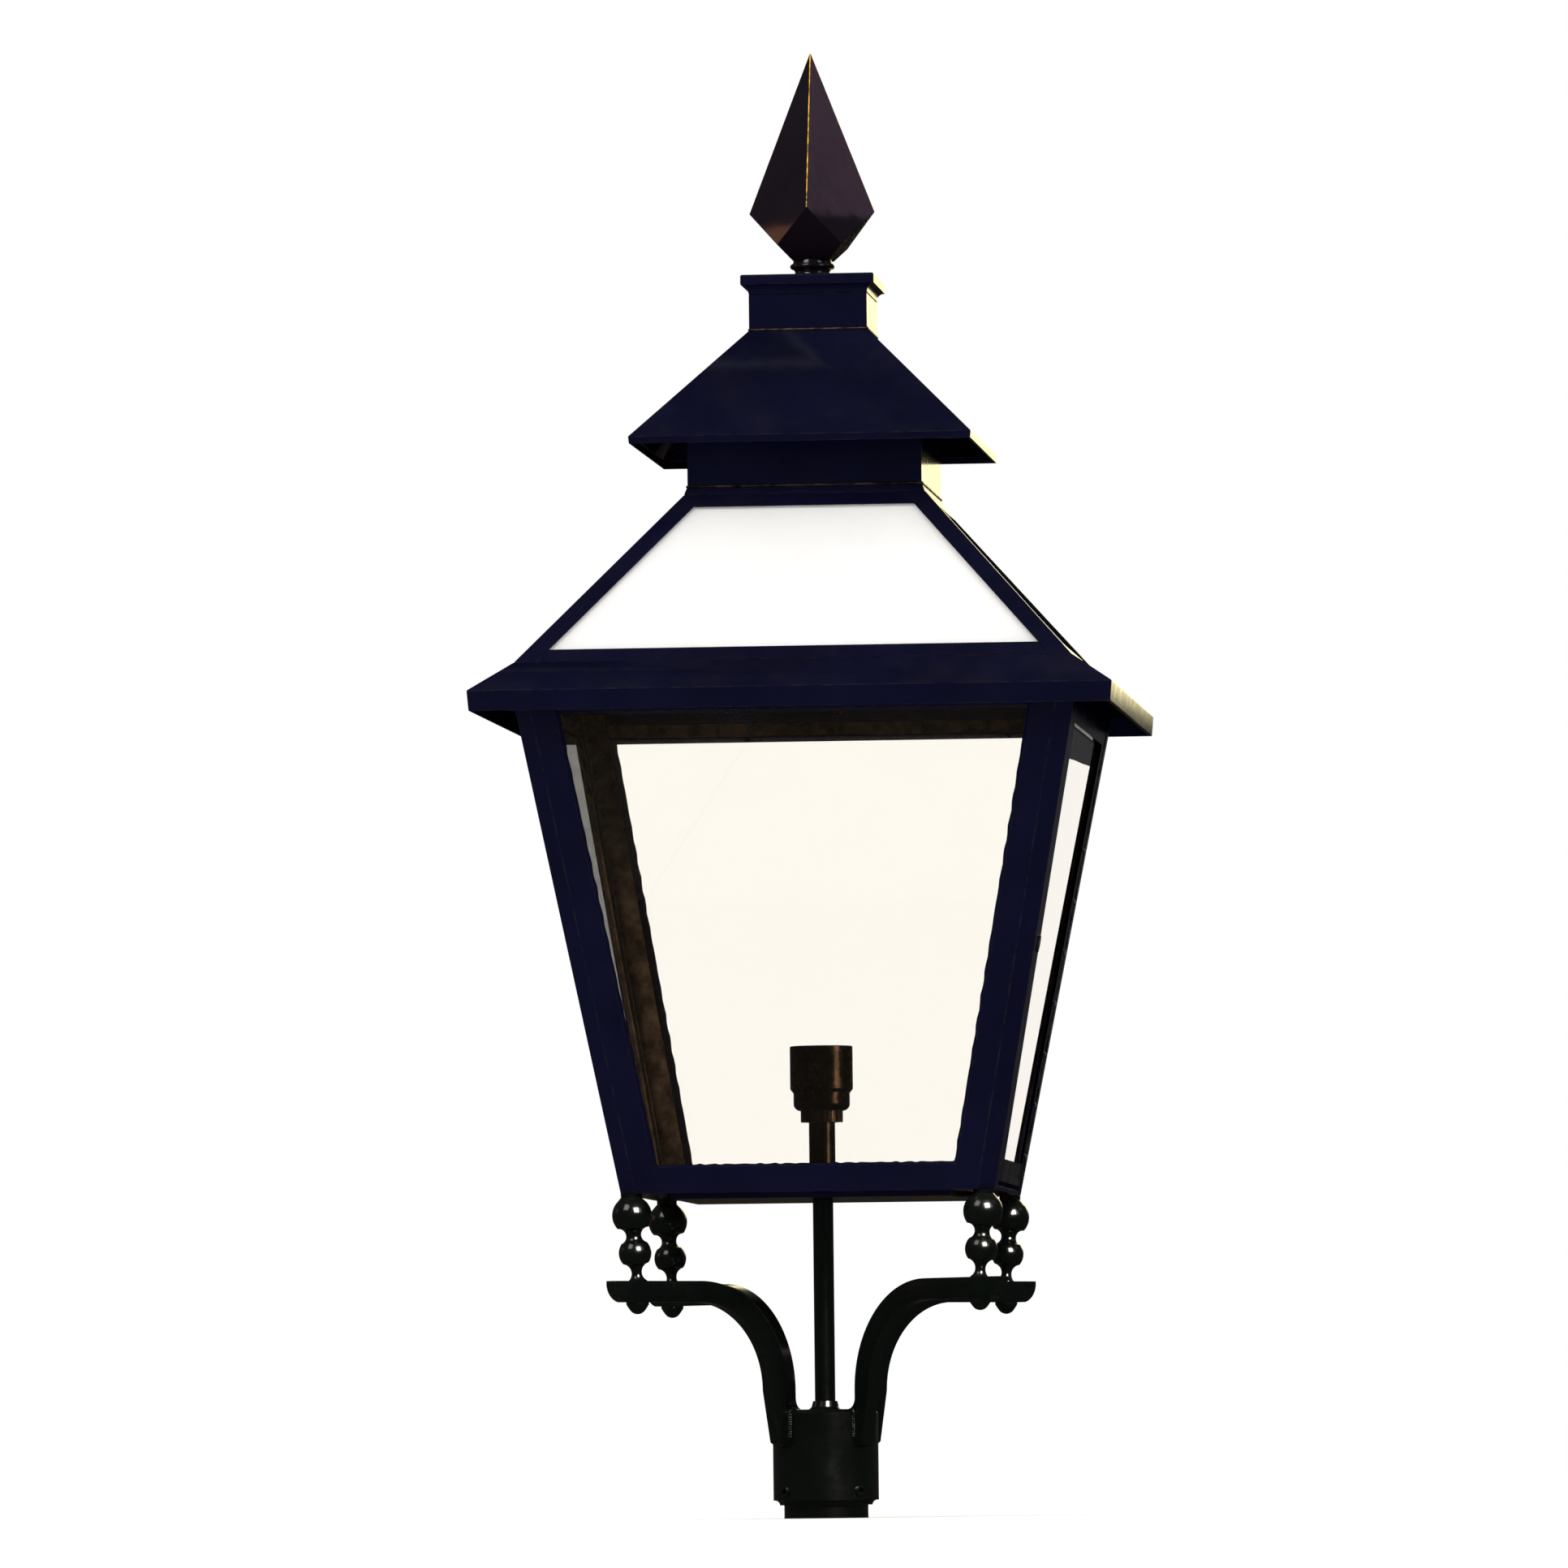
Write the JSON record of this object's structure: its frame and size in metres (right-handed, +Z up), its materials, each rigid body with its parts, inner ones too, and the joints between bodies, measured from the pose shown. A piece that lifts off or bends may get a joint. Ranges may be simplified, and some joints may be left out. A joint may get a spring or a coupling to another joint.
{
  "type": "street lantern",
  "caption": "Square tapered post-top street lantern with glazed roof, vented hood, spear finial, side door and a four-armed frog.",
  "frame": {"origin": "centre of the post sleeve's lower mouth", "axes": "+Z up along the post, -Y out of the front, +X to the right-hand door side"},
  "size_m": [0.45, 0.45, 1.043],
  "materials": {
    "frog_black": "gloss black-green paint on iron",
    "navy_enamel": "gloss navy-black enamel on sheet metal",
    "hinge_steel": "blackened steel knuckled hinge",
    "clear_glass": "clear float glass",
    "opal_glass": "opal white glass",
    "bronze": "antique bronze",
    "spear_enamel": "gloss brown-black enamel",
    "plated_steel": "zinc plated steel",
    "porcelain": "white porcelain",
    "contact_brass": "bright brass"
  },
  "bodies": {
    "lantern": {"base_rail_back": "navy_enamel", "base_rail_front": "navy_enamel", "base_rail_left": "navy_enamel", "base_rail_right": "navy_enamel", "bead_screws": "bronze", "cap_plate": "navy_enamel", "corner_blocks": "navy_enamel", "corner_post_back_left": "navy_enamel", "corner_post_back_right": "navy_enamel", "corner_post_front_left": "navy_enamel", "corner_post_front_right": "navy_enamel", "corner_spindles": "frog_black", "door_stop": "navy_enamel", "eave_panels": "navy_enamel", "finial": "spear_enamel", "finial_neck": "spear_enamel", "finial_nut": "plated_steel", "finial_stud": "plated_steel", "floor_pan": "navy_enamel", "floor_screws": "bronze", "frog_arm_back_left": "frog_black", "frog_arm_back_right": "frog_black", "frog_arm_front_left": "frog_black", "frog_arm_front_right": "frog_black", "glass_back": "clear_glass", "glass_front": "clear_glass", "glass_left": "clear_glass", "glazing_beads": "bronze", "hinge_leaf_post": "hinge_steel", "hinge_pin": "hinge_steel", "hood": "navy_enamel", "hood_stays": "navy_enamel", "inner_corner_angles": "bronze", "lamp_contacts": "contact_brass", "lamp_stem": "bronze", "lampholder_body": "bronze", "lampholder_collar": "bronze", "lampholder_insert": "porcelain", "lampholder_shroud": "bronze", "lower_chimney": "navy_enamel", "post_socket": "frog_black", "roof_curb": "navy_enamel", "roof_glass": "opal_glass", "roof_hip_bars": "navy_enamel", "roof_rails": "navy_enamel", "roof_screws": "bronze", "roof_seat_ring": "navy_enamel", "socket_set_screws": "frog_black", "spigot_sleeve": "frog_black", "spindle_nuts": "frog_black", "supply_tube": "frog_black", "top_rails": "navy_enamel", "tube_locknuts": "frog_black", "upper_chimney": "navy_enamel"},
    "door": {"door_frame": "navy_enamel", "door_glass": "clear_glass", "door_beads": "bronze", "hinge_leaf_door": "hinge_steel"},
    "latch": {"latch_barrel": "plated_steel", "latch_tongue": "plated_steel"}
  },
  "joints": [
    {"name": "door_hinge", "type": "hinge", "parent": "lantern", "child": "door", "pos_m": [0.16109, 0.13061, 0.4], "axis": [0.183, 0.183, 0.9659], "range_deg": [0, 95]},
    {"name": "latch_turn", "type": "hinge", "parent": "door", "child": "latch", "pos_m": [0.16418, -0.12428, 0.4005], "axis": [-0.9825, 0, 0.1861], "range_deg": [0, 90]}
  ]
}
